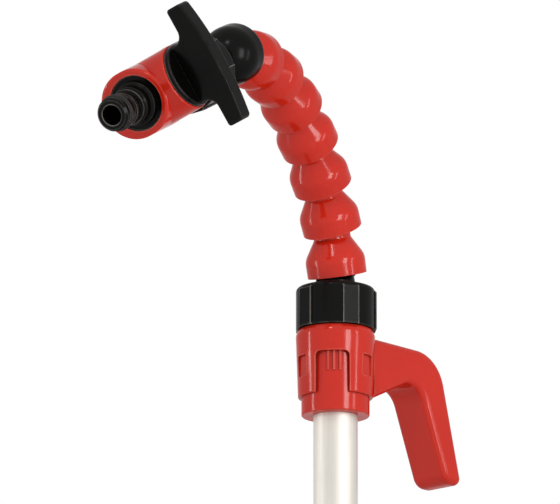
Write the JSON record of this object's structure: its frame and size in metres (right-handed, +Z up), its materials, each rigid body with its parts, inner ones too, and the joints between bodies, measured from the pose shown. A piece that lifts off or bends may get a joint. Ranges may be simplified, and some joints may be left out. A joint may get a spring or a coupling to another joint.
{
  "type": "rain barrel pump",
  "caption": "Barrel pump: slotted foot and sealed motor, telescopic riser with a rim hook, and a ball-and-socket hose ending in a T-handled shut-off valve with a hose nipple.",
  "frame": {"origin": "centre of the foot, on the floor, on the riser axis", "axes": "+Z up the riser, +X the way the rim hook points out from the riser, +Y completes the right-handed frame; the hose leans towards -X and slightly -Y"},
  "size_m": [0.3386, 0.1628, 0.7194],
  "materials": {
    "red_plastic": "gloss",
    "black_plastic": "satin gloss",
    "dark_plastic": "fine moulded texture",
    "aluminium": "satin anodised",
    "rubber": "matt",
    "steel": "bright",
    "stainless": "deep drawn",
    "core_steel": "laminated",
    "copper": "enamelled wire"
  },
  "bodies": {
    "pump_unit": {"base_strainer": "dark_plastic", "foot_pads": "rubber", "suction_plate": "dark_plastic", "chamber_body": "dark_plastic", "shaft_seal": "rubber", "lower_bearing": "steel", "upper_bearing": "steel", "stator_core": "core_steel", "windings": "copper", "motor_can": "stainless", "motor_cap": "stainless", "pump_housing": "red_plastic", "top_cover": "black_plastic", "cover_screws": "steel", "base_screws": "steel", "cable_gland": "dark_plastic", "cable_bush": "rubber", "lower_tube": "aluminium", "clamp_body": "black_plastic", "clamp_collet": "black_plastic"},
    "rotor": {"impeller": "dark_plastic", "motor_shaft": "steel", "rotor_core": "core_steel"},
    "clamp": {"clamp_nut": "black_plastic"},
    "riser": {"upper_tube": "aluminium", "slide_ring": "rubber", "hook_collar": "red_plastic", "tube_o_ring": "rubber", "lower_union_nut": "black_plastic", "lower_flat_seal": "rubber", "ball_fitting": "black_plastic"},
    "valve": {"socket_fitting": "black_plastic", "upper_union_nut": "black_plastic", "upper_flat_seal": "rubber", "valve_body": "red_plastic", "bonnet_ring": "dark_plastic", "outlet_nipple": "black_plastic", "nipple_o_ring": "rubber"},
    "handle": {"valve_plug": "dark_plastic", "plug_o_rings": "rubber", "t_handle": "black_plastic", "handle_screw": "steel"},
    "link_1": {"hose_link_1": "red_plastic"},
    "link_2": {"hose_link_2": "red_plastic"},
    "link_3": {"hose_link_3": "red_plastic"},
    "link_4": {"hose_link_4": "red_plastic"},
    "link_5": {"hose_link_5": "red_plastic"},
    "link_6": {"hose_link_6": "red_plastic"},
    "link_7": {"hose_link_7": "red_plastic"}
  },
  "joints": [
    {"name": "impeller_spin", "type": "hinge", "parent": "pump_unit", "child": "rotor", "pos_m": [0, 0, 0.1], "axis": [0, 0, 1], "continuous": true},
    {"name": "clamp_turn", "type": "hinge", "parent": "pump_unit", "child": "clamp", "pos_m": [0, 0, 0.4], "axis": [0, 0, 1], "range_deg": [0, 90]},
    {"name": "riser_slide", "type": "slide", "parent": "pump_unit", "child": "riser", "axis": [0, 0, 1], "range_m": [0, 0.16]},
    {"name": "hose_swivel", "type": "hinge", "parent": "riser", "child": "link_1", "pos_m": [0, 0, 0.6093], "axis": [0, 0, 1], "continuous": true},
    {"name": "hose_bend_2", "type": "hinge", "parent": "link_1", "child": "link_2", "pos_m": [-0.00756, -0.00234, 0.63365], "axis": [0.2957, -0.9553, 0], "range_deg": [-32.5, 4.5]},
    {"name": "hose_bend_3", "type": "hinge", "parent": "link_2", "child": "link_3", "pos_m": [-0.02052, -0.00635, 0.65536], "axis": [0.2957, -0.9553, 0], "range_deg": [-29.5, 7.5]},
    {"name": "hose_bend_4", "type": "hinge", "parent": "link_3", "child": "link_4", "pos_m": [-0.03719, -0.01151, 0.67408], "axis": [0.2957, -0.9553, 0], "range_deg": [-30, 7]},
    {"name": "hose_bend_5", "type": "hinge", "parent": "link_4", "child": "link_5", "pos_m": [-0.0571, -0.01768, 0.68895], "axis": [0.2957, -0.9553, 0], "range_deg": [-31.8, 5.2]},
    {"name": "hose_bend_6", "type": "hinge", "parent": "link_5", "child": "link_6", "pos_m": [-0.07975, -0.02469, 0.69862], "axis": [0.2957, -0.9553, 0], "range_deg": [-33.3, 3.7]},
    {"name": "hose_bend_7", "type": "hinge", "parent": "link_6", "child": "link_7", "pos_m": [-0.104, -0.03219, 0.70192], "axis": [0.2957, -0.9553, 0], "range_deg": [-32.5, 4.5]},
    {"name": "hose_bend_8", "type": "hinge", "parent": "link_7", "child": "valve", "pos_m": [-0.12829, -0.03971, 0.69897], "axis": [0.3063, -0.9451, -0.1135], "range_deg": [-36.33, 0.67]},
    {"name": "handle_turn", "type": "hinge", "parent": "valve", "child": "handle", "pos_m": [-0.19923, -0.04607, 0.66241], "axis": [0.1073, -0.9441, 0.3117], "range_deg": [0, 90]}
  ]
}
